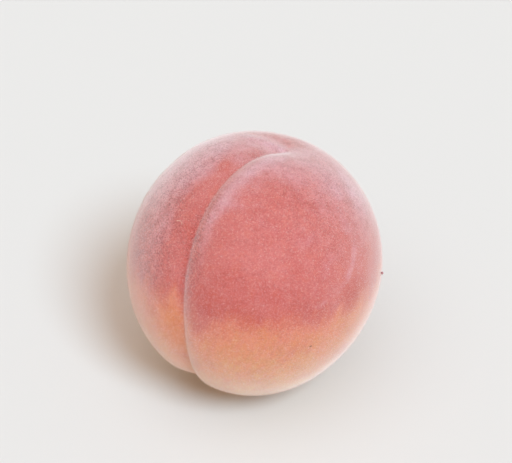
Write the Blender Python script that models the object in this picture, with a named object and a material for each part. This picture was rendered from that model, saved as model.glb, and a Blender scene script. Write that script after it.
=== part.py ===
"""A whole peach as picked, one solid fruit with no stem.

It lies on a small flat spot beside its stem hollow, tip up and leaning back to the right, suture to the front.
Fruit axes: +Z runs from the stem end to the tip, +X is the suture's side and +Y the fuller cheek's.
Row axes: +Z is up, -Y is the front, and the origin is on the floor under the middle of the fruit.
"""

import math

import bmesh
import bpy
from mathutils import Matrix, Vector

# Size and rest, in metres and degrees.
MEAN_RADIUS = 0.0378
FLAT_SPOT_DEPTH = 0.0010
TIP_LEAN = 24.5
TIP_LEANS_TOWARDS = 41.6
SUTURE_SPIN = -151.5

# Proportions, as shares of the mean radius.
TIP_TO_STEM = 1.007
CHEEK_TO_CHEEK = 0.962
FULL_CHEEK = 0.044
FULL_CHEEK_SAG = 0.015
STEM_HOLLOW_DEPTH = 0.34
SUTURE_DEPTH_AT_TIP = 0.050
SUTURE_DEPTH_AT_STEM = 0.060
TIP_DIMPLE_DEPTH = 0.040
TIP_POINT_HEIGHT = 0.008

# Widths on the surface, as angles seen from the fruit's middle.
SUTURE_BOW = 14.0
SUTURE_SWAY = 7.7
STEM_HOLLOW_WIDTH = 13.5
TIP_DIMPLE_WIDTH = 16.0
TIP_POINT_WIDTH = 2.2
SUTURE_LIP_WIDTH = 3.2
SUTURE_LIP_SPREAD = 14.0
SUTURE_SLOPE_WIDTH = 5.5
SUTURE_SLOPE_SPREAD_AT_TIP = 12.0
SUTURE_SLOPE_SPREAD_AT_STEM = 9.0
SUTURE_BED_WIDTH = 0.7

# The grid of the solid: it is closer at the suture and at both ends.
MERIDIANS = 72
PARALLELS = 48
SUTURE_GATHER = 0.78
END_GATHER = 0.42


def clear_scene():
    for leftover in list(bpy.data.objects):
        bpy.data.objects.remove(leftover, do_unlink=True)


def bell(angle, width):
    """1 at no angle, falling smoothly to nothing past about two widths."""
    return math.exp(-((angle / width) ** 2))


def ramp(low, high, value):
    """0 up to low and 1 from high, with a smooth step between."""
    share = min(1.0, max(0.0, (value - low) / (high - low)))
    return share * share * (3.0 - 2.0 * share)


def blend(first, second, share):
    return first + (second - first) * share


def suture_offset(from_tip):
    """How far the suture lies from the middle plane, as an angle: it sways off one way and then the other."""
    return -SUTURE_BOW * math.sin(from_tip) - SUTURE_SWAY * math.sin(2.0 * from_tip)


def suture_section(across, to_stem):
    """Depth of the suture as a share of its deepest, at an angle across it.

    The full cheek ends in a tight round lip, and the other cheek slopes in gently, most of all near the tip.
    """
    slant = math.hypot(across, SUTURE_BED_WIDTH) - SUTURE_BED_WIDTH
    if across > 0.0:
        return 0.75 * math.exp(-slant / SUTURE_LIP_WIDTH) + 0.25 * bell(across, SUTURE_LIP_SPREAD)
    spread = blend(SUTURE_SLOPE_SPREAD_AT_TIP, SUTURE_SLOPE_SPREAD_AT_STEM, to_stem)
    return 0.40 * math.exp(-slant / SUTURE_SLOPE_WIDTH) + 0.60 * bell(across, spread)


def skin_share(direction):
    """Distance from the fruit's middle to its skin along a unit vector, as a share of the mean radius."""
    from_tip = math.acos(max(-1.0, min(1.0, direction.z)))
    across = math.degrees(math.asin(max(-1.0, min(1.0, direction.y)))) - suture_offset(from_tip)
    from_tip = math.degrees(from_tip)
    from_stem = 180.0 - from_tip

    share = 1.0 + (TIP_TO_STEM - 1.0) * direction.z**2 + (CHEEK_TO_CHEEK - 1.0) * direction.y**2
    share += FULL_CHEEK * direction.y - FULL_CHEEK_SAG * direction.y * direction.z

    to_stem = ramp(20.0, 165.0, from_tip)
    on_suture_side = ramp(-0.22, 0.12, direction.x)
    suture_depth = blend(SUTURE_DEPTH_AT_TIP, SUTURE_DEPTH_AT_STEM, to_stem) * on_suture_side
    share -= suture_depth * suture_section(across, to_stem)

    share -= STEM_HOLLOW_DEPTH * bell(from_stem, STEM_HOLLOW_WIDTH)
    share -= TIP_DIMPLE_DEPTH * bell(from_tip, TIP_DIMPLE_WIDTH)
    share += TIP_POINT_HEIGHT * bell(from_tip, TIP_POINT_WIDTH)
    return share


def gathered(direction):
    """Moves a grid direction round the fruit so that the grid is finer at the suture and at both ends."""
    from_tip = math.acos(max(-1.0, min(1.0, direction.z)))
    round_tip = math.atan2(direction.y, direction.x)
    from_tip -= 0.5 * END_GATHER * math.sin(2.0 * from_tip)
    ring = max(1e-6, math.sin(from_tip))
    suture_turn = math.asin(math.sin(math.radians(suture_offset(from_tip))) / ring)
    round_tip += 0.5 * suture_turn * (1.0 + math.cos(round_tip)) - SUTURE_GATHER * math.sin(round_tip)
    return Vector((ring * math.cos(round_tip), ring * math.sin(round_tip), math.cos(from_tip)))


def resting_attitude():
    """The turn from fruit axes to row axes."""
    spin = Matrix.Rotation(math.radians(SUTURE_SPIN), 4, "Z")
    lean = Matrix.Rotation(math.radians(TIP_LEAN), 4, "Y")
    towards = Matrix.Rotation(math.radians(TIP_LEANS_TOWARDS), 4, "Z")
    return towards @ lean @ spin


def cut_flat_spot(mesh):
    """Cuts the lowest skin away level, and closes it with one flat face."""
    floor = min(vertex.co.z for vertex in mesh.verts) + FLAT_SPOT_DEPTH
    everything = mesh.verts[:] + mesh.edges[:] + mesh.faces[:]
    bmesh.ops.bisect_plane(
        mesh, geom=everything, plane_co=(0.0, 0.0, floor), plane_no=(0.0, 0.0, -1.0), clear_outer=True
    )
    rim = [edge for edge in mesh.edges if edge.is_boundary]
    bmesh.ops.holes_fill(mesh, edges=rim)


def stand_on_origin(mesh):
    """Moves the fruit so that the middle of its box stands over the origin, with its flat spot on the floor."""
    middle = [0.5 * (min(v.co[axis] for v in mesh.verts) + max(v.co[axis] for v in mesh.verts)) for axis in (0, 1)]
    floor = min(vertex.co.z for vertex in mesh.verts)
    bmesh.ops.translate(mesh, vec=(-middle[0], -middle[1], -floor), verts=mesh.verts)


def peach_skin_material():
    material = bpy.data.materials.new("peach_skin")
    material.use_nodes = True
    shader = material.node_tree.nodes["Principled BSDF"]
    shader.inputs["Base Color"].default_value = (0.72, 0.25, 0.20, 1.0)
    shader.inputs["Roughness"].default_value = 0.85
    shader.inputs["Metallic"].default_value = 0.0
    return material


def make_peach(collection):
    mesh = bmesh.new()
    bmesh.ops.create_uvsphere(mesh, u_segments=MERIDIANS, v_segments=PARALLELS, radius=1.0)
    for vertex in mesh.verts:
        direction = gathered(vertex.co.normalized())
        vertex.co = direction * skin_share(direction) * MEAN_RADIUS
    bmesh.ops.transform(mesh, matrix=resting_attitude(), verts=mesh.verts)
    cut_flat_spot(mesh)
    stand_on_origin(mesh)
    bmesh.ops.recalc_face_normals(mesh, faces=mesh.faces)

    data = bpy.data.meshes.new("peach")
    mesh.to_mesh(data)
    mesh.free()
    for face in data.polygons:
        face.use_smooth = face.normal.z > -0.9999
    data.materials.append(peach_skin_material())
    peach = bpy.data.objects.new("peach", data)
    collection.objects.link(peach)
    return peach


def main():
    clear_scene()
    collection = bpy.data.collections.new("peach")
    bpy.context.scene.collection.children.link(collection)
    make_peach(collection)


main()
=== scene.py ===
import math

import bmesh
import bpy
import numpy as np
from mathutils import Matrix, Vector, noise


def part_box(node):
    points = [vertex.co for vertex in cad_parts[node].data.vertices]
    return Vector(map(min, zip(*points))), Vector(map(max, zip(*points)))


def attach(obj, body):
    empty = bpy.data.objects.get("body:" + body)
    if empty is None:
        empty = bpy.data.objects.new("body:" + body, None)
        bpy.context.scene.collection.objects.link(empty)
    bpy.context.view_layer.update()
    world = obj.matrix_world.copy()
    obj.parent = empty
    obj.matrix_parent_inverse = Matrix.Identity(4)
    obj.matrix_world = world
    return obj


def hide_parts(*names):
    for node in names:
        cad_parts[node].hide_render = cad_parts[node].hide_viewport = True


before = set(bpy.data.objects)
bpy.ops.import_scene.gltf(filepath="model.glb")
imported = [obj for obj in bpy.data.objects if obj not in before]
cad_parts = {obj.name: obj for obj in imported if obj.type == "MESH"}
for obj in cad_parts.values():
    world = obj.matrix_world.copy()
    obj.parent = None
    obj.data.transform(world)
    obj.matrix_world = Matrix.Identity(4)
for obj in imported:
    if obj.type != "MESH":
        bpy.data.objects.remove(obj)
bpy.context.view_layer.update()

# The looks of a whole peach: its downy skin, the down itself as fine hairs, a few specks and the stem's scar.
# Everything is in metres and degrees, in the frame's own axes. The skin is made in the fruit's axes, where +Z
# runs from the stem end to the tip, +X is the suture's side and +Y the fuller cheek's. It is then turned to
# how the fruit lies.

PEACH_LOW, PEACH_HIGH = (np.array(corner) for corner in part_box("peach"))

# How the fruit lies, and its size, as in the part's own source.
TIP_LEAN = 24.5
TIP_LEANS_TOWARDS = 41.6
SUTURE_SPIN = -151.5
MEAN_RADIUS = 0.0378
FLAT_SPOT_DEPTH = 0.0010

# Its proportions, as shares of the mean radius, as in the part's own source.
TIP_TO_STEM = 1.007
CHEEK_TO_CHEEK = 0.962
FULL_CHEEK = 0.044
FULL_CHEEK_SAG = 0.015
STEM_HOLLOW_DEPTH = 0.34
SUTURE_DEPTH_AT_TIP = 0.050
SUTURE_DEPTH_AT_STEM = 0.060
TIP_DIMPLE_DEPTH = 0.040
TIP_POINT_HEIGHT = 0.008

# Its widths, as angles seen from the fruit's middle, as in the part's own source.
SUTURE_BOW = 14.0
SUTURE_SWAY = 7.7
STEM_HOLLOW_WIDTH = 13.5
TIP_DIMPLE_WIDTH = 16.0
TIP_POINT_WIDTH = 2.2
SUTURE_LIP_WIDTH = 3.2
SUTURE_LIP_SPREAD = 14.0
SUTURE_SLOPE_WIDTH = 5.5
SUTURE_SLOPE_SPREAD_AT_TIP = 12.0
SUTURE_SLOPE_SPREAD_AT_STEM = 9.0
SUTURE_BED_WIDTH = 0.7

# What the looks add to the shape, as shares of the mean radius: a low ridge and a slight hollow at the tip,
# and a flatter place low on the full cheek, towards a unit vector of the frame.
TIP_RIDGE_HEIGHT = 0.008
TIP_BACK_DEPTH = 0.010
FLATTER_TOWARDS = np.array((0.707, -0.455, -0.542))
FLATTER_DEPTH = 0.016
FLATTER_WIDTH = 27.0

# Noises, in rows of how much, how wide their lumps are, and a seed. Only the streaks' width is in radians.
SKIN_LUMPS = ((0.00016, 0.0130, 1.0), (0.00005, 0.0045, 2.0))
RED_EDGE_WANDER = ((0.12, 0.0300, 3.0),)
RIPENESS_NOISE = ((0.06, 0.0050, 4.0), (0.05, 0.0140, 6.0), (0.07, 0.0085, 12.0))
RIPENESS_STREAKS = ((0.07, 0.0600, 5.0),)
BLOOM_AND_SHEEN_NOISE = ((0.14, 0.0100, 7.0), (0.08, 0.0038, 8.0))
DEEP_RED_NOISE = ((0.11, 0.0070, 9.0), (0.06, 0.0028, 10.0))
SPECKLING_NOISE = ((0.12, 0.0060, 11.0),)

# The red ends at a height on the fruit, as a share of its half height, which falls away to the right. The
# ground is at its palest this far below that edge.
RED_EDGE_HEIGHT = 0.315
RED_EDGE_SLOPE = 0.15
RED_EDGE_SLOPES_FROM = 0.1
RED_EDGE_BLUR = (-0.20, 0.15)
CREAM_BELOW_EDGE = 1.15

# The pale mauve bloom: partly the down's own colour, partly painted sheen, the haze the down shows where light
# grazes it. How much lies in its main places, by what share it thins out there, and how much of it is gone in
# others.
# On the shoulders it is all painted sheen, more high up and towards the back.
SHOULDER_SHEEN = 0.70
SHOULDER_THINNING = 0.5
TIP_BLOOM_AND_SHEEN = 0.45
TIP_BLOOM_AND_SHEEN_WIDTH = 17.0
LIP_BLOOM_AND_SHEEN = 0.60
LIP_BLOOM_AND_SHEEN_LOWER = 0.50
LOBE_BLOOM_AND_SHEEN = 0.36
LOBE_THINNING = 0.4
RIDGE_BLOOM_AND_SHEEN = 0.30
BLOOM_AND_SHEEN_GONE_EVERYWHERE = 0.04
BLOOM_AND_SHEEN_GONE_LOW_DOWN = 0.20
BLOOM_AND_SHEEN_GONE_IN_SUTURE = 0.22
BLOOM_AND_SHEEN_GONE_BEHIND_TIP = 0.45
BLOOM_AND_SHEEN_RANGE = (-0.5, 1.0)

# The deep red, the gold and the dark specks: how strong each is in its main places.
DEEP_RED_EVERYWHERE = 0.05
DEEP_RED_IN_SUTURE = 0.12
DEEP_RED_LOWER_IN_SUTURE = 0.30
DEEP_RED_BEHIND_TIP = 0.12
GOLD_BESIDE_SUTURE = 0.60
SPECKLING_EVERYWHERE = 0.30
SPECKLING_BEYOND_SUTURE = 0.66
SPECKLING_HIGH_UP = 0.38

# The pale arc on the cheek: the middle of its circle, as a unit vector of the frame, and its radius, width and
# strength.
SCUFF_CENTRE = np.array((0.375, -0.618, 0.691))
SCUFF_RADIUS = 26.0
SCUFF_WIDTH = 2.0
SCUFF_STRENGTH = 0.42

# Soft patches of each painted field, in rows of how much, how far from the tip and how far across the suture,
# with the full cheek positive, and how far they reach both ways.
RIPENESS_PATCHES = (
    (0.06, 98.0, 6.0, 16.0, 6.0),  # the red reaches lower along the lip
    (0.12, 93.0, 9.0, 9.0, 7.0),  # and beside it
    (-0.11, 94.0, -4.0, 10.0, 4.0),  # but less far in the suture
    (-0.12, 93.0, 34.0, 6.0, 12.0),  # under the middle of the full cheek
    (-0.12, 87.0, 80.0, 7.0, 8.0),  # and at its far side
)
BLOOM_AND_SHEEN_PATCHES = (
    (0.10, 16.0, 0.0, 7.0, 10.0),  # the dimple at the tip
    (-0.40, 18.0, -2.0, 5.0, 3.0),  # except the first bit of the suture
    (0.20, 25.0, 9.0, 8.0, 6.0),  # the lip's upper end
    (0.12, 46.0, 12.0, 8.0, 6.0),  # the lip's shoulder
    (0.16, 33.0, 32.0, 9.0, 16.0),  # the top of the full cheek
    (0.12, 32.0, 41.0, 7.0, 9.0),
    (0.30, 38.0, 56.0, 11.0, 14.0),
    (0.15, 49.0, 68.0, 10.0, 8.0),
    (0.25, 31.0, -13.5, 7.0, 4.0),  # the slope across the suture, in turns more and less
    (-0.35, 34.0, -6.0, 5.5, 4.0),
    (0.14, 44.0, -7.0, 9.0, 5.0),
    (-0.15, 56.0, -5.0, 7.0, 5.0),
    (-0.25, 74.0, 3.0, 12.0, 6.0),  # less pale on the lip halfway down: painted shade from the suture
    (-0.30, 88.0, 18.0, 10.0, 18.0),  # the deep red low on the full cheek
    (-0.35, 75.0, 75.0, 7.0, 12.0),
    (-0.50, 82.0, -36.0, 14.0, 7.0),  # the deep red low on the other cheek
    (-0.22, 79.0, -28.0, 10.0, 6.0),
)
DEEP_RED_PATCHES = (
    (0.12, 36.0, 30.0, 7.0, 13.0),  # the upper full cheek
    (0.18, 50.0, 36.0, 10.0, 10.0),
    (0.15, 56.0, -5.0, 7.0, 5.0),  # the slope across the suture
    (0.16, 74.0, -2.0, 14.0, 8.0),
    (0.50, 88.0, 13.0, 9.0, 9.0),  # the band along the low edge of the red, on the full cheek
    (0.25, 90.0, 30.0, 5.0, 9.0),
    (0.30, 79.0, 45.0, 8.0, 20.0),
    (0.60, 72.5, 77.0, 8.0, 7.0),
    (0.80, 84.0, -35.0, 15.0, 6.0),  # and on the other cheek
    (0.14, 100.0, 6.0, 8.0, 4.0),  # the low end of the lip and of the suture
    (0.30, 119.0, -5.0, 10.0, 5.0),
)
GOLD_PATCHES = (
    (0.25, 100.0, 6.0, 8.0, 4.0),  # down the lip
    (0.25, 104.0, 18.0, 8.0, 7.0),
    (0.75, 123.0, 14.0, 7.0, 8.0),
    (0.40, 121.0, -3.0, 8.0, 5.0),  # the low end of the suture
    (0.30, 118.0, -17.0, 9.0, 6.0),  # the other cheek
    (0.20, 76.0, 80.0, 7.0, 6.0),  # the far side of the full cheek
)
SPECKLING_AND_SHADE_PATCHES = (
    (-0.35, 22.0, -10.0, 11.0, 7.0),  # little of it on the upper slope across the suture
    (-0.35, 33.0, -2.0, 9.0, 5.0),
    (-0.35, 45.0, -8.0, 10.0, 6.0),
    (0.75, 66.0, 2.5, 26.0, 3.0),  # painted shade of the suture along the lip, laid as close dark specks, in this row and the next
    (0.30, 72.0, 0.0, 16.0, 8.0),
    (0.22, 35.0, 36.0, 11.0, 20.0),  # the top of the full cheek
    (0.10, 40.0, 55.0, 14.0, 16.0),
    (-0.26, 70.0, 77.0, 12.0, 10.0),  # its far side
    (0.30, 78.0, -26.0, 10.0, 6.0),  # the other cheek
)

# The colours, in steps of 0 to 255. The ground's run from the cream underneath, by ripeness, to the red.
GROUND_COLOURS = (
    (0.00, (226, 183, 110)),
    (0.22, (219, 152, 84)),
    (0.40, (219, 136, 90)),
    (0.52, (219, 131, 102)),
    (0.62, (214, 120, 98)),
    (0.80, (201, 103, 95)),
    (1.00, (203, 110, 106)),
)
GOLD_COLOUR = (217, 128, 62)
DEEP_RED_COLOUR = (184, 55, 42)
BLOOM_AND_SHEEN_COLOUR = (223, 177, 189)
PALE_GRAIN_COLOUR = (240, 196, 190)
FIBRE_COLOUR = (238, 206, 190)
FLECK_COLOURS = ((150, 94, 102), (202, 148, 154))
BROWN_SPOT_COLOURS = ((128, 92, 76), (176, 132, 108))
STEM_SCAR_COLOURS = ((84, 58, 40), (158, 118, 78))

# The patterns in the skin's colour: how fine each is, and how many finer layers it has. The streaks are drawn
# out along the meridians.
PATTERNS = {
    "fine_grain": {"scale": 2400.0, "detail": 1.0},
    "grain": {"scale": 1500.0, "detail": 2.0},
    "mottle": {"scale": 420.0, "detail": 3.0},
    "cloud": {"scale": 150.0, "detail": 3.0},
}
STREAK = {"scale": 42.0, "detail": 3.0}
PATTERN_ROUGHNESS = 0.55
MERIDIAN_STRETCH = 5.0

# How far the patterns move each painted field up and down.
SWAYS = {
    "ripeness": (("mottle", 0.30), ("streak", 0.30)),
    "gold": (("mottle", 0.50),),
    "deep_red": (("cloud", 1.10), ("mottle", 0.40)),
    "bloom_and_sheen": (("cloud", 0.75), ("mottle", 0.45)),
}

# What the specks and blotches multiply the colour by, and how much of the pale grain shows, as stops over a
# pattern.
WHITE = (1.0, 1.0, 1.0, 1.0)
BLACK = (0.0, 0.0, 0.0, 1.0)
DARK_SPECKS = ((0.36, (0.60, 0.40, 0.41, 1.0)), (0.51, WHITE))
DARK_BLOTCHES = ((0.38, (0.84, 0.76, 0.76, 1.0)), (0.56, WHITE))
PALE_GRAIN = ((0.52, BLACK), (0.72, (0.16, 0.16, 0.16, 1.0)))

# The shaders. The skin lets a little light through, and its sheen stands for the down that the hairs are too
# few for.
SKIN_SHADER = {
    "Roughness": 0.62,
    "Specular IOR Level": 0.30,
    "Sheen Weight": 1.0,
    "Sheen Roughness": 0.5,
    "Sheen Tint": (0.98, 0.95, 0.95, 1.0),
    "Subsurface Weight": 0.12,
    "Subsurface Radius": (1.0, 0.35, 0.20),
    "Subsurface Scale": 0.003,
}
SKIN_BUMP = {"Strength": 0.30, "Distance": 0.00010}
HAIR_SHADER = {"Roughness": 0.6, "Specular IOR Level": 0.3}
SPECK_SHADER = {"Roughness": 0.85, "Specular IOR Level": 0.2}
FLOOR_SHADER = {"Base Color": (0.755, 0.755, 0.755, 1.0), "Roughness": 0.9, "Specular IOR Level": 0.1}

# The grid of the skin: it is closer at the suture and at both ends.
MERIDIANS = 380
PARALLELS = 190
SUTURE_GATHER = 0.62
END_GATHER = 0.30

# The down: the range of its hairs' lengths and tilts, and for each piece its colour, its hairs and how many
# there are at most.
SHORT_HAIRS = {"length": (0.00018, 0.00060), "radius": 0.000012, "tilt": (5.0, 60.0)}
LONG_HAIRS = {"length": (0.00060, 0.00140), "radius": 0.000013, "tilt": (50.0, 84.0)}
DOWN = (
    ((0.86, 0.73, 0.71, 1.0), SHORT_HAIRS, 46000),
    ((0.84, 0.73, 0.77, 1.0), SHORT_HAIRS, 46000),
    ((0.89, 0.78, 0.70, 1.0), SHORT_HAIRS, 46000),
    ((0.86, 0.76, 0.77, 1.0), SHORT_HAIRS, 46000),
    ((0.84, 0.66, 0.65, 1.0), LONG_HAIRS, 9000),
)
DOWN_SEED = 100

# Hairs start this far inside the skin, and none starts this near the floor. The skin's normals are worked out
# from steps of this length along it, as a share of the mean radius.
HAIR_ROOT_DEPTH = 0.00008
BARE_ABOVE_FLOOR = 0.0009
NORMAL_STEP = 0.004

# The specks: where they lie, from the tip and round it, their half sizes along, down and out of the skin, how
# far their middle stands out, and how fine the pattern of their two colours is.
FLECK = {"place": (72.4, 94.0), "size": (0.00018, 0.00045, 0.00034), "lift": 0.00050, "scale": 3000.0}
BROWN_SPOT = {"place": (97.0, 47.0), "size": (0.00040, 0.00020, 0.00012), "lift": 0.00004, "scale": 3000.0}
STEM_SCAR = {"place": (180.0, 0.0), "size": (0.0024, 0.0026, 0.0007), "lift": 0.0001, "scale": 900.0}

# Where a speck's pattern goes from its darker to its lighter colour, and how rough its surface is, in rows of
# how much and how fine.
SPECK_EDGE = (0.38, 0.62)
SPECK_LUMPS = ((0.30, 1.7), (0.12, 5.0))

# The loose hair: where it lies, its curl, how thick it starts and how much of that it loses, and how far out
# of the skin it starts and rises.
FIBRE_PLACE = (67.0, -30.0)
FIBRE_CURL_RADIUS = 0.0012
FIBRE_CURL_FROM = 30.0
FIBRE_CURL_TURN = 135.0
FIBRE_CURL_FLATTENING = 0.8
FIBRE_RADIUS = 0.00009
FIBRE_TAPER = 0.6
FIBRE_LIFT = 0.00012
FIBRE_RISE = 0.0004
FIBRE_RINGS = 18
FIBRE_SIDES = 6

FLOOR_HALF_WIDTH = 3.0

# The camera: how far it stands above level, its lens in millimetres, and how large half the fruit's height is
# and where its middle falls, as shares of the view's width.
CAMERA_ELEVATION = 40.0
LENS = 100.0
SENSOR = 36.0
FRUIT_SHARE_OF_WIDTH = 0.2527
FRUIT_DOWN_OF_MIDDLE = 0.0606
FRUIT_LEFT_OF_MIDDLE = 0.0024

# The light: a key from the front right, a broader fill from above the front, and a surround that is warmer
# low down. A lamp's softness is the angle that it fills.
KEY = {"azimuth": -57.0, "elevation": 50.0, "softness": 23.0, "strength": 2.08, "colour": (0.78, 1.0, 1.14)}
FILL = {"azimuth": -115.0, "elevation": 74.0, "softness": 60.0, "strength": 0.75, "colour": (1.0, 0.96, 0.93)}
SURROUND_STRENGTH = 0.485
SURROUND_LOW = (1.25, 0.80, 0.52, 1.0)
SURROUND_HIGH = (0.875, 0.77, 0.67, 1.0)


def bell(angle, width):
    """1 at no angle, falling smoothly to nothing past about two widths."""
    return np.exp(-((angle / width) ** 2))


def ramp(low, high, value):
    """0 up to low and 1 from high, with a smooth step between."""
    share = np.clip((value - low) / (high - low), 0.0, 1.0)
    return share * share * (3.0 - 2.0 * share)


def fall(low, high, value):
    """1 up to low and 0 from high, with a smooth step between."""
    return 1.0 - ramp(low, high, value)


def blend(first, second, share):
    return first + (second - first) * share


def unit(vectors):
    """The vectors, each made one long."""
    return vectors / np.linalg.norm(vectors, axis=1)[:, None]


def resting_attitude():
    """The turn from fruit axes to the frame's axes."""
    spin = Matrix.Rotation(math.radians(SUTURE_SPIN), 3, "Z")
    lean = Matrix.Rotation(math.radians(TIP_LEAN), 3, "Y")
    towards = Matrix.Rotation(math.radians(TIP_LEANS_TOWARDS), 3, "Z")
    return np.array(towards @ lean @ spin)


ATTITUDE = resting_attitude()


def in_frame(directions):
    """How far each direction points to the right, to the back and up, in the frame's axes."""
    return (directions @ ATTITUDE.T).T


def angle_from(directions, towards):
    """Angle between each direction and a unit vector of the frame."""
    return np.degrees(np.arccos(np.clip(directions @ (towards @ ATTITUDE), -1.0, 1.0)))


def suture_offset(from_tip):
    """How far the suture lies from the middle plane: it sways off one way and then the other."""
    return -SUTURE_BOW * np.sin(np.radians(from_tip)) - SUTURE_SWAY * np.sin(np.radians(2.0 * from_tip))


def angles(directions):
    """Angle from the tip and angle across the suture of each direction."""
    from_tip = np.degrees(np.arccos(np.clip(directions[:, 2], -1.0, 1.0)))
    across = np.degrees(np.arcsin(np.clip(directions[:, 1], -1.0, 1.0))) - suture_offset(from_tip)
    return from_tip, across


def on_suture_side(directions):
    """1 on the side of the suture and 0 on the other."""
    return ramp(-0.1, 0.2, directions[:, 0])


def suture_section(across, to_stem):
    """Depth of the suture as a share of its deepest: a tight round lip one side, a gentle slope the other."""
    slant = np.hypot(across, SUTURE_BED_WIDTH) - SUTURE_BED_WIDTH
    lip = 0.75 * np.exp(-slant / SUTURE_LIP_WIDTH) + 0.25 * bell(across, SUTURE_LIP_SPREAD)
    spread = blend(SUTURE_SLOPE_SPREAD_AT_TIP, SUTURE_SLOPE_SPREAD_AT_STEM, to_stem)
    slope = 0.40 * np.exp(-slant / SUTURE_SLOPE_WIDTH) + 0.60 * bell(across, spread)
    return np.where(across > 0.0, lip, slope)


def skin_share(directions):
    """Distance from the fruit's middle to its skin along unit vectors, as a share of the mean radius."""
    from_tip, across = angles(directions)
    x, y, z = directions.T
    share = 1.0 + (TIP_TO_STEM - 1.0) * z**2 + (CHEEK_TO_CHEEK - 1.0) * y**2
    share += FULL_CHEEK * y - FULL_CHEEK_SAG * y * z
    to_stem = ramp(20.0, 165.0, from_tip)
    suture_depth = blend(SUTURE_DEPTH_AT_TIP, SUTURE_DEPTH_AT_STEM, to_stem) * ramp(-0.22, 0.12, x)
    share -= suture_depth * suture_section(across, to_stem)
    share -= STEM_HOLLOW_DEPTH * bell(180.0 - from_tip, STEM_HOLLOW_WIDTH)
    share -= TIP_DIMPLE_DEPTH * bell(from_tip, TIP_DIMPLE_WIDTH)
    share += TIP_POINT_HEIGHT * bell(from_tip, TIP_POINT_WIDTH)
    return share


def beside_tip(directions):
    """How far from the tip each direction lies, towards the suture and the full cheek, and if it is near."""
    degrees_in_a_radian = 57.3
    to_suture, to_full_cheek = degrees_in_a_radian * directions[:, :2].T
    return to_suture, to_full_cheek, directions[:, 2] > 0.0


def tip_ridge(directions):
    """The low ridge that runs from the tip down the cheek beyond the suture."""
    to_suture, to_full_cheek, near = beside_tip(directions)
    down = -to_full_cheek
    return bell(to_suture - 0.5, 3.6) * ramp(0.0, 4.0, down) * fall(15.0, 24.0, down) * near


def tip_back(directions):
    """The slight hollow behind the tip, on the side away from the suture."""
    to_suture, to_full_cheek, near = beside_tip(directions)
    return bell(to_suture + 9.0, 6.5) * bell(to_full_cheek + 1.0, 7.0) * near


def noise_at(points, size, seed):
    """Smooth noise, about -1 to 1, with lumps of about the given size."""
    shift = Vector((17.3 * seed, -9.1 * seed, 5.7 * seed))
    return np.array([noise.noise(Vector(point) / size + shift) for point in points])


def layered_noise(points, rows):
    """The sum of noises, each of a row of how much, a size and a seed."""
    return sum(amount * noise_at(points, size, seed) for amount, size, seed in rows)


def skin_points(directions):
    """Points of the skin in fruit axes, with the slight lumps a real one has."""
    share = skin_share(directions)
    share += TIP_RIDGE_HEIGHT * tip_ridge(directions) - TIP_BACK_DEPTH * tip_back(directions)
    share -= FLATTER_DEPTH * bell(angle_from(directions, FLATTER_TOWARDS), FLATTER_WIDTH)
    smooth = directions * (share * MEAN_RADIUS)[:, None]
    return smooth + directions * layered_noise(smooth, SKIN_LUMPS)[:, None]


def grid_directions():
    """Unit vectors in rows from the tip to the stem end, and then the two ends themselves."""
    from_tip = np.linspace(0.0, math.pi, PARALLELS + 1)[1:-1]
    round_tip = np.linspace(-math.pi, math.pi, MERIDIANS, endpoint=False)
    from_tip = from_tip - 0.5 * END_GATHER * np.sin(2.0 * from_tip)
    turn = np.arcsin(np.sin(np.radians(suture_offset(np.degrees(from_tip)))) / np.sin(from_tip))
    to_suture = 0.5 * turn[:, None] * (1.0 + np.cos(round_tip))[None, :]
    gather = to_suture - SUTURE_GATHER * np.sin(round_tip)[None, :]
    azimuth = round_tip[None, :] + gather
    ring = np.sin(from_tip)[:, None]
    height = np.broadcast_to(np.cos(from_tip)[:, None], azimuth.shape)
    rows = np.stack([ring * np.cos(azimuth), ring * np.sin(azimuth), height], axis=-1).reshape(-1, 3)
    return np.vstack([rows, (0.0, 0.0, 1.0), (0.0, 0.0, -1.0)])


def grid_faces():
    """Quads between the rows and triangles at both ends, all facing out."""
    faces = []
    tip = (PARALLELS - 1) * MERIDIANS
    stem = tip + 1
    last = (PARALLELS - 2) * MERIDIANS
    for column in range(MERIDIANS):
        following = (column + 1) % MERIDIANS
        faces.append((tip, column, following))
        faces.append((stem, last + following, last + column))
        for row in range(PARALLELS - 2):
            upper = row * MERIDIANS
            lower = upper + MERIDIANS
            faces.append((upper + column, lower + column, lower + following, upper + following))
    return faces


def placed(points, fit):
    """Points in fruit axes, moved to where the fruit lies."""
    scale, shift = fit
    return points @ ATTITUDE.T * scale + shift


def fit_to_box(points):
    """The scale and the shift that bring the turned skin to the box of the CAD solid."""
    turned = points @ ATTITUDE.T
    low, high = turned.min(axis=0), turned.max(axis=0)
    scale = (PEACH_HIGH[2] - PEACH_LOW[2] + FLAT_SPOT_DEPTH) / (high[2] - low[2])
    shift = 0.5 * (PEACH_LOW + PEACH_HIGH) - 0.5 * scale * (low + high)
    shift[2] = PEACH_HIGH[2] - scale * high[2]
    return scale, shift


def meridian_places(directions):
    """Places to read a noise at so that it is drawn out along the meridians, as the colour of a skin is."""
    azimuth = np.arctan2(directions[:, 1], directions[:, 0])
    from_tip = np.arccos(np.clip(directions[:, 2], -1.0, 1.0))
    return np.stack([np.cos(azimuth), np.sin(azimuth), from_tip / MERIDIAN_STRETCH], axis=-1)


def patch(directions, from_tip, across, reach_along, reach_across):
    """A soft patch on the suture's side, round a place given from the tip and across the suture."""
    patch_tip, patch_across = angles(directions)
    share = bell(patch_tip - from_tip, reach_along) * bell(patch_across - across, reach_across)
    return share * ramp(-0.3, 0.1, directions[:, 0])


def patches(directions, rows):
    """The sum of soft patches, each of a row of how much, a place and two reaches."""
    return sum(amount * patch(directions, *place_and_reach) for amount, *place_and_reach in rows)


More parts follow.
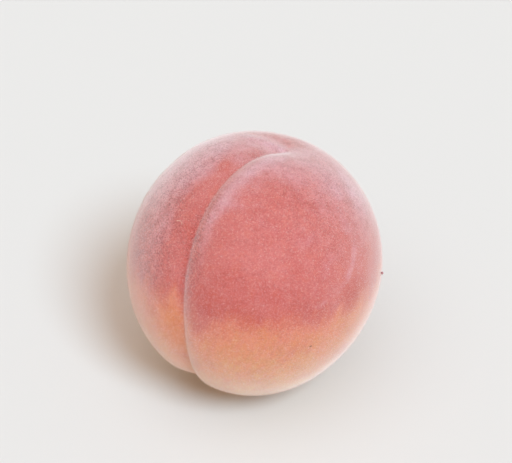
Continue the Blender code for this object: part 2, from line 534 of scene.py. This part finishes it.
def ripeness(directions, points):
    """How ripe the colour of the skin is: 0 for the cream underneath, 0.5 for salmon and 1 for red."""
    aside, back, height = in_frame(directions)
    edge = RED_EDGE_HEIGHT - RED_EDGE_SLOPE * np.maximum(aside - RED_EDGE_SLOPES_FROM, 0.0)
    edge += layered_noise(points, RED_EDGE_WANDER) * ramp(-0.1, 0.5, back)
    above = height - edge + layered_noise(points, RIPENESS_NOISE)
    above += layered_noise(meridian_places(directions), RIPENESS_STREAKS)
    above += patches(directions, RIPENESS_PATCHES)
    return 0.5 * np.clip(above + CREAM_BELOW_EDGE, 0.0, 1.0) + 0.5 * ramp(*RED_EDGE_BLUR, above)


def shoulder_sheen(back, height):
    """Painted sheen on both shoulders, where light grazes the down, thinner again towards the far side."""
    past_front = ramp(-0.32, 0.10, back)
    high_up = ramp(0.20, 0.60, height)
    far_side = ramp(0.35, 0.75, back)
    return SHOULDER_SHEEN * past_front * high_up * (1.0 - SHOULDER_THINNING * far_side)


def lip_bloom_and_sheen(from_tip, across):
    """Bloom on the suture's lip, partly painted sheen, which fades out on the way down."""
    share = blend(LIP_BLOOM_AND_SHEEN, LIP_BLOOM_AND_SHEEN_LOWER, ramp(30.0, 50.0, from_tip))
    return share * bell(across - 6.0, 4.3) * fall(60.0, 105.0, from_tip)


def lobe_bloom_and_sheen(from_tip, across, height):
    """Bloom on the cheek beyond the suture, partly painted sheen, thinner low down."""
    beyond = fall(-20.0, -6.0, across)
    lower = ramp(70.0, 84.0, from_tip)
    return LOBE_BLOOM_AND_SHEEN * beyond * (1.0 - LOBE_THINNING * lower) * ramp(0.30, 0.60, height)


def bloom_and_sheen(directions, points):
    """Pale mauve on the red, part bloom and part painted sheen: most round the tip, on the lip and on the
    shoulders.
    """
    back, height = in_frame(directions)[1:]
    from_tip, across = angles(directions)
    bare = 1.0 - shoulder_sheen(back, height)
    bare *= 1.0 - TIP_BLOOM_AND_SHEEN * bell(from_tip, TIP_BLOOM_AND_SHEEN_WIDTH)
    bare *= 1.0 - lip_bloom_and_sheen(from_tip, across) * on_suture_side(directions)
    bare *= 1.0 - lobe_bloom_and_sheen(from_tip, across, height)
    bed = bell(across - 0.3, 2.4) * ramp(3.0, 10.0, from_tip) * fall(60.0, 80.0, from_tip)
    slope = bell(across + 5.0, 4.5) * ramp(12.0, 24.0, from_tip)
    share = 1.0 - bare - BLOOM_AND_SHEEN_GONE_IN_SUTURE * (bed + slope) * on_suture_side(directions)
    share -= BLOOM_AND_SHEEN_GONE_EVERYWHERE + BLOOM_AND_SHEEN_GONE_LOW_DOWN * fall(0.0, 0.35, height)
    share += RIDGE_BLOOM_AND_SHEEN * tip_ridge(directions) - BLOOM_AND_SHEEN_GONE_BEHIND_TIP * tip_back(directions)
    return share + patches(directions, BLOOM_AND_SHEEN_PATCHES) + layered_noise(points, BLOOM_AND_SHEEN_NOISE)


def deep_red(directions, points):
    """Where the red is deepest: the bed of the suture and a few patches low on the red."""
    from_tip, across = angles(directions)
    bed = bell(across + 0.5, 1.5) * ramp(2.0, 12.0, from_tip) * fall(88.0, 108.0, from_tip)
    in_suture = blend(DEEP_RED_IN_SUTURE, DEEP_RED_LOWER_IN_SUTURE, ramp(55.0, 70.0, from_tip))
    share = DEEP_RED_EVERYWHERE + in_suture * bed * on_suture_side(directions)
    share += DEEP_RED_BEHIND_TIP * tip_back(directions)
    return share + patches(directions, DEEP_RED_PATCHES) + layered_noise(points, DEEP_RED_NOISE)


def gold(directions):
    """Where the ground colour shows orange: low in the suture and beside it."""
    from_tip, across = angles(directions)
    beside = bell(across + 5.0, 6.5) * ramp(92.0, 108.0, from_tip) * on_suture_side(directions)
    return GOLD_BESIDE_SUTURE * beside + patches(directions, GOLD_PATCHES)


def speckling_and_shade(directions, points):
    """How strongly dark specks show: most on the cheek beyond the suture and round the top; along the lip they
    are packed close as painted shade from the suture.
    """
    back, height = in_frame(directions)[1:]
    across = angles(directions)[1]
    beyond = fall(-16.0, -4.0, across) * ramp(0.0, 0.5, height)
    high_up = ramp(-0.35, 0.05, back) * ramp(0.2, 0.6, height)
    share = SPECKLING_EVERYWHERE + SPECKLING_BEYOND_SUTURE * beyond + SPECKLING_HIGH_UP * high_up
    return share + patches(directions, SPECKLING_AND_SHADE_PATCHES) + layered_noise(points, SPECKLING_NOISE)


def scuff(directions):
    """The faint pale arc low on the full cheek, where the skin has been pressed."""
    aside, _, height = in_frame(directions)
    low_right = ramp(0.45, 0.60, aside) * ramp(0.22, 0.31, height) * fall(0.46, 0.58, height)
    return SCUFF_STRENGTH * bell(angle_from(directions, SCUFF_CENTRE) - SCUFF_RADIUS, SCUFF_WIDTH) * low_right


def add_field(mesh, name, values):
    layer = mesh.attributes.new(name, "FLOAT", "POINT")
    layer.data.foreach_set("value", np.ascontiguousarray(values, dtype=np.float32))


def add_vectors(mesh, name, values):
    layer = mesh.attributes.new(name, "FLOAT_VECTOR", "POINT")
    layer.data.foreach_set("vector", np.ascontiguousarray(values, dtype=np.float32).ravel())


def add_object(name, mesh):
    piece = bpy.data.objects.new(name, mesh)
    bpy.context.scene.collection.objects.link(piece)
    return piece


def node(tree, kind, **settings):
    made = tree.nodes.new(kind)
    for name, value in settings.items():
        setattr(made, name, value)
    return made


def linear(red, green, blue):
    """A linear colour from steps of 0 to 255, which colours are usually read in."""
    steps = [channel / 255.0 for channel in (red, green, blue)]
    return [s / 12.92 if s <= 0.04045 else ((s + 0.055) / 1.055) ** 2.4 for s in steps] + [1.0]


def mix(tree, kind, factor, first, second):
    """A colour mix; factor, first and second are sockets or values."""
    made = node(tree, "ShaderNodeMix", data_type="RGBA", blend_type=kind)
    for socket, value in ((made.inputs[0], factor), (made.inputs[6], first), (made.inputs[7], second)):
        if isinstance(value, bpy.types.NodeSocket):
            tree.links.new(value, socket)
        else:
            socket.default_value = value
    return made.outputs[2]


def stepped(tree, value, stops):
    """A colour for the value, from stops of a place and a colour."""
    made = node(tree, "ShaderNodeValToRGB")
    tree.links.new(value, made.inputs["Fac"])
    elements = made.color_ramp.elements
    while len(elements) < len(stops):
        elements.new(0.5)
    for element, (place, colour) in zip(elements, stops):
        element.position = place
        element.color = colour
    return made.outputs["Color"]


def swayed(tree, value, pattern, amount):
    """The value, moved up and down by a pattern that lies round one half."""
    centred = node(tree, "ShaderNodeMath", operation="SUBTRACT")
    tree.links.new(pattern, centred.inputs[0])
    centred.inputs[1].default_value = 0.5
    moved = node(tree, "ShaderNodeMath", operation="MULTIPLY_ADD")
    tree.links.new(centred.outputs[0], moved.inputs[0])
    moved.inputs[1].default_value = amount
    tree.links.new(value, moved.inputs[2])
    return moved.outputs[0]


def pattern_in(tree, places, scale, detail=3.0):
    """A noise pattern, read at the places."""
    made = node(tree, "ShaderNodeTexNoise")
    tree.links.new(places, made.inputs["Vector"])
    made.inputs["Scale"].default_value = scale
    made.inputs["Detail"].default_value = detail
    made.inputs["Roughness"].default_value = PATTERN_ROUGHNESS
    return made.outputs["Fac"]


def field(tree, name):
    """A painted field of the skin, by its name."""
    return node(tree, "ShaderNodeAttribute", attribute_name=name).outputs["Fac"]


def swayed_field(tree, name, patterns):
    """A painted field of the skin, moved up and down by its patterns."""
    value = field(tree, name)
    for pattern, amount in SWAYS[name]:
        value = swayed(tree, value, patterns[pattern], amount)
    return value


def new_material(name, settings):
    """A material, and its shader with the settings on its own sockets."""
    material = bpy.data.materials.new(name)
    material.use_nodes = True
    shader = material.node_tree.nodes["Principled BSDF"]
    for socket, value in settings.items():
        shader.inputs[socket].default_value = value
    return material, shader


def skin_patterns(tree):
    """The patterns in the skin's colour, by name."""
    place = node(tree, "ShaderNodeTexCoord").outputs["Object"]
    patterns = {name: pattern_in(tree, place, **settings) for name, settings in PATTERNS.items()}
    meridian = node(tree, "ShaderNodeAttribute", attribute_name="meridian").outputs["Vector"]
    patterns["streak"] = pattern_in(tree, meridian, **STREAK)
    return patterns


def skin_colour(tree, patterns):
    """The painted colour: the ground, with gold and deep red on it, bloom and painted sheen over them, and
    grain over all.
    """
    ground_stops = [(place, linear(*colour)) for place, colour in GROUND_COLOURS]
    colour = stepped(tree, swayed_field(tree, "ripeness", patterns), ground_stops)
    # Gold, deep red, and last the pale mauve, which is partly painted sheen.
    for name, covering in (("gold", GOLD_COLOUR), ("deep_red", DEEP_RED_COLOUR), ("bloom_and_sheen", BLOOM_AND_SHEEN_COLOUR)):
        colour = mix(tree, "MIX", swayed_field(tree, name, patterns), colour, linear(*covering))
    # Dark specks and blotches; packed close along the lip, they are painted shade from the suture.
    for pattern, stops in (("fine_grain", DARK_SPECKS), ("mottle", DARK_BLOTCHES)):
        dark = stepped(tree, patterns[pattern], stops)
        colour = mix(tree, "MULTIPLY", field(tree, "speckling_and_shade"), colour, dark)
    pale = stepped(tree, patterns["grain"], PALE_GRAIN)
    return mix(tree, "MIX", pale, colour, linear(*PALE_GRAIN_COLOUR))


def skin_material():
    """Matt downy skin, with the slightest relief from its grain."""
    material, shader = new_material("peach_skin_downy", SKIN_SHADER)
    tree = material.node_tree
    patterns = skin_patterns(tree)
    tree.links.new(skin_colour(tree, patterns), shader.inputs["Base Color"])
    bump = node(tree, "ShaderNodeBump")
    for socket, value in SKIN_BUMP.items():
        bump.inputs[socket].default_value = value
    tree.links.new(patterns["grain"], bump.inputs["Height"])
    tree.links.new(bump.outputs["Normal"], shader.inputs["Normal"])
    return material


def hair_material(name, colour):
    return new_material(name, HAIR_SHADER | {"Base Color": colour})[0]


def speck_material(name, colours, scale):
    """A dry material in lumps of a darker and a lighter colour."""
    material, shader = new_material(name, SPECK_SHADER)
    tree = material.node_tree
    lumps = pattern_in(tree, node(tree, "ShaderNodeTexCoord").outputs["Object"], scale)
    stops = [(place, linear(*colour)) for place, colour in zip(SPECK_EDGE, colours)]
    tree.links.new(stepped(tree, lumps, stops), shader.inputs["Base Color"])
    return material


def paint(mesh, directions, inner):
    """The painted fields of the skin, and the places that its streaks are read at."""
    add_field(mesh, "ripeness", ripeness(directions, inner))
    add_field(mesh, "bloom_and_sheen", np.clip(bloom_and_sheen(directions, inner) + scuff(directions), *BLOOM_AND_SHEEN_RANGE))
    add_field(mesh, "deep_red", deep_red(directions, inner))
    add_field(mesh, "gold", gold(directions))
    add_field(mesh, "speckling_and_shade", speckling_and_shade(directions, inner))
    add_vectors(mesh, "meridian", meridian_places(directions))


def make_skin():
    """The skin, in place of the solid; gives back the scale and the shift that fit it to the solid's box."""
    directions = grid_directions()
    inner = skin_points(directions)
    fit = fit_to_box(inner)
    points = placed(inner, fit)
    points[:, 2] = np.maximum(points[:, 2], PEACH_LOW[2])
    mesh = bpy.data.meshes.new("peach_skin")
    mesh.from_pydata(points.tolist(), [], grid_faces())
    mesh.shade_smooth()
    paint(mesh, directions, inner)
    mesh.materials.append(skin_material())
    skin = add_object("peach_skin", mesh)
    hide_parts("peach")
    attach(skin, "root")
    return fit


def random_directions(dice, count):
    return unit(dice.normal(size=(count, 3)))


def skin_normals(directions):
    """Outward normals of the skin at each direction, in fruit axes, from two short steps along it."""
    helper = np.where(np.abs(directions[:, 2:3]) > 0.9, (1.0, 0.0, 0.0), (0.0, 0.0, 1.0))
    first = unit(np.cross(directions, helper))
    second = np.cross(directions, first)

    def point(moved):
        moved = unit(moved)
        return moved * skin_share(moved)[:, None]

    along = point(directions + NORMAL_STEP * first) - point(directions - NORMAL_STEP * first)
    aside = point(directions + NORMAL_STEP * second) - point(directions - NORMAL_STEP * second)
    normals = unit(np.cross(along, aside))
    return normals * np.sign((normals * directions).sum(axis=1))[:, None]


def spikes(roots, heading, sideways, length, radius):
    """Points and faces of thin closed three-sided spikes, which start just inside the skin."""
    side = unit(np.cross(heading, sideways))
    other = np.cross(heading, side)
    base = roots - heading * HAIR_ROOT_DEPTH
    corners = [
        base + radius * (math.cos(turn) * side + math.sin(turn) * other)
        for turn in (0.0, 2.0 * math.pi / 3.0, 4.0 * math.pi / 3.0)
    ]
    points = np.stack(corners + [roots + heading * length], axis=1).reshape(-1, 3)
    first = np.arange(len(roots))[:, None] * 4
    faces = [first + corner for corner in ((0, 1, 3), (1, 2, 3), (2, 0, 3), (0, 2, 1))]
    return points, np.concatenate(faces, axis=0)


def make_down(number, fit, colour, hairs, most):
    """One piece of the down: hairs that stand out of the skin at all tilts, with none near the floor."""
    dice = np.random.RandomState(DOWN_SEED + number)
    count = most
    directions = random_directions(dice, count)
    roots = placed(skin_points(directions), fit)
    normals = skin_normals(directions) @ ATTITUDE.T
    sideways = unit(np.cross(normals, random_directions(dice, count)))
    tilt = np.radians(dice.uniform(*hairs["tilt"], count))[:, None]
    length = dice.uniform(*hairs["length"], count)[:, None]
    heading = normals * np.cos(tilt) + sideways * np.sin(tilt)
    kept = roots[:, 2] > PEACH_LOW[2] + BARE_ABOVE_FLOOR
    points, faces = spikes(roots[kept], heading[kept], sideways[kept], length[kept], hairs["radius"])

    mesh = bpy.data.meshes.new(f"down_{number}")
    mesh.from_pydata(points.tolist(), [], faces.tolist())
    mesh.materials.append(hair_material(f"down_{number}", colour))
    down = add_object(f"down_{number}", mesh)
    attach(down, "root")


def spot_on_skin(from_tip, round_tip, fit):
    """A point of the skin from two angles, and the ways out of it, along it and down it."""
    tip, turn = math.radians(from_tip), math.radians(round_tip)
    ring = math.sin(tip)
    direction = np.array([[ring * math.cos(turn), ring * math.sin(turn), math.cos(tip)]])
    point = placed(skin_points(direction), fit)[0]
    out = (skin_normals(direction) @ ATTITUDE.T)[0]
    along = np.cross(out, (0.0, 0.0, 1.0))
    along /= np.linalg.norm(along)
    return point, out, along, np.cross(out, along)


def make_lump(name, fit, speck, material):
    """A small rough lump on the skin."""
    point, out, along, down = spot_on_skin(*speck["place"], fit)
    mesh = bmesh.new()
    bmesh.ops.create_icosphere(mesh, subdivisions=4, radius=1.0)
    for vertex in mesh.verts:
        rough = 1.0 + sum(amount * noise.noise(vertex.co * fineness) for amount, fineness in SPECK_LUMPS)
        reach = np.array(vertex.co) * speck["size"] * rough
        vertex.co = Vector(point + out * speck["lift"] + along * reach[0] + down * reach[1] + out * reach[2])
    data = bpy.data.meshes.new(name)
    mesh.to_mesh(data)
    mesh.free()
    data.shade_smooth()
    data.materials.append(material)
    lump = add_object(name, data)
    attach(lump, "root")


def fibre_points(fit):
    """Rings of points round the curled line of the loose hair."""
    point, out, along, down = spot_on_skin(*FIBRE_PLACE, fit)
    points = []
    for ring in range(FIBRE_RINGS):
        share = ring / (FIBRE_RINGS - 1)
        turn = math.radians(FIBRE_CURL_FROM + FIBRE_CURL_TURN * share)
        outwards = math.cos(turn) * along - math.sin(turn) * FIBRE_CURL_FLATTENING * down
        centre = point + outwards * FIBRE_CURL_RADIUS + out * (FIBRE_LIFT + FIBRE_RISE * share)
        width = FIBRE_RADIUS * (1.0 - FIBRE_TAPER * share)
        for side in range(FIBRE_SIDES):
            round_it = 2.0 * math.pi * side / FIBRE_SIDES
            points.append(centre + width * (math.cos(round_it) * outwards + math.sin(round_it) * out))
    return points


def make_fibre(fit):
    """One curled loose hair, with both ends closed."""
    last = (FIBRE_RINGS - 1) * FIBRE_SIDES
    faces = [tuple(range(FIBRE_SIDES)), tuple(reversed(range(last, last + FIBRE_SIDES)))]
    for start in range(0, last, FIBRE_SIDES):
        for side in range(FIBRE_SIDES):
            this, following = start + side, start + (side + 1) % FIBRE_SIDES
            faces.append((this, this + FIBRE_SIDES, following + FIBRE_SIDES, following))
    mesh = bpy.data.meshes.new("fibre")
    mesh.from_pydata([tuple(corner) for corner in fibre_points(fit)], [], faces)
    mesh.shade_smooth()
    mesh.materials.append(hair_material("fibre", linear(*FIBRE_COLOUR)))
    fibre = add_object("fibre", mesh)
    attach(fibre, "root")


def make_specks(fit):
    """The fleck caught in the down, the small brown spot, the loose hair and the stem's scar."""
    make_lump("fleck", fit, FLECK, speck_material("dried_fleck", FLECK_COLOURS, FLECK["scale"]))
    make_lump("spot", fit, BROWN_SPOT, speck_material("brown_spot", BROWN_SPOT_COLOURS, BROWN_SPOT["scale"]))
    make_fibre(fit)
    make_lump("stem_scar", fit, STEM_SCAR, speck_material("scar", STEM_SCAR_COLOURS, STEM_SCAR["scale"]))


def floor_material():
    return new_material("pale_floor", FLOOR_SHADER)[0]


def make_floor():
    mesh = bpy.data.meshes.new("floor")
    half = FLOOR_HALF_WIDTH
    corners = [(-half, -half, 0), (half, -half, 0), (half, half, 0), (-half, half, 0)]
    mesh.from_pydata(corners, [], [(0, 1, 2, 3)])
    mesh.materials.append(floor_material())
    add_object("floor", mesh)


def make_camera():
    """A camera level with the front, which looks down at the fruit from as far as its lens needs."""
    elevation = math.radians(CAMERA_ELEVATION)
    towards = Vector((0.0, -math.cos(elevation), math.sin(elevation)))
    up = Vector((0.0, math.sin(elevation), math.cos(elevation)))
    right = Vector((1.0, 0.0, 0.0))
    reach = LENS / SENSOR
    radius = 0.5 * (PEACH_HIGH[2] - PEACH_LOW[2])
    distance = math.hypot(reach * radius / FRUIT_SHARE_OF_WIDTH, radius)
    width = distance / reach
    middle = Vector(0.5 * (PEACH_LOW + PEACH_HIGH))
    aim = middle + up * (FRUIT_DOWN_OF_MIDDLE * width) + right * (FRUIT_LEFT_OF_MIDDLE * width)
    camera = bpy.data.objects.new("camera", bpy.data.cameras.new("camera"))
    camera.data.lens = LENS
    camera.data.sensor_width = SENSOR
    camera.location = aim + towards * distance
    camera.rotation_euler = (-towards).to_track_quat("-Z", "Y").to_euler()
    bpy.context.scene.collection.objects.link(camera)
    bpy.context.scene.camera = camera


def make_lamp(name, azimuth, elevation, softness, strength, colour):
    """A distant lamp."""
    lamp = bpy.data.lights.new(name, "SUN")
    lamp.energy = strength
    lamp.angle = math.radians(softness)
    lamp.color = colour
    azimuth, elevation = math.radians(azimuth), math.radians(elevation)
    flat = math.cos(elevation)
    from_lamp = Vector((flat * math.cos(azimuth), flat * math.sin(azimuth), math.sin(elevation)))
    placed_lamp = bpy.data.objects.new(name, lamp)
    placed_lamp.rotation_euler = from_lamp.to_track_quat("Z", "Y").to_euler()
    bpy.context.scene.collection.objects.link(placed_lamp)


def make_surround():
    """The light from all around, blended by height."""
    world = bpy.data.worlds.new("surround")
    world.use_nodes = True
    tree = world.node_tree
    background = tree.nodes["Background"]
    background.inputs["Strength"].default_value = SURROUND_STRENGTH
    parts = node(tree, "ShaderNodeSeparateXYZ")
    tree.links.new(node(tree, "ShaderNodeTexCoord").outputs["Generated"], parts.inputs[0])
    shade = mix(tree, "MIX", parts.outputs["Z"], SURROUND_LOW, SURROUND_HIGH)
    tree.links.new(shade, background.inputs["Color"])
    bpy.context.scene.world = world


def make_light():
    make_lamp("key", **KEY)
    make_lamp("fill", **FILL)
    make_surround()


def main():
    bpy.context.scene.view_settings.view_transform = "Standard"
    make_camera()
    make_light()
    make_floor()
    fit = make_skin()
    for number, (colour, hairs, count) in enumerate(DOWN, start=1):
        make_down(number, fit, colour, hairs, count)
    make_specks(fit)


main()
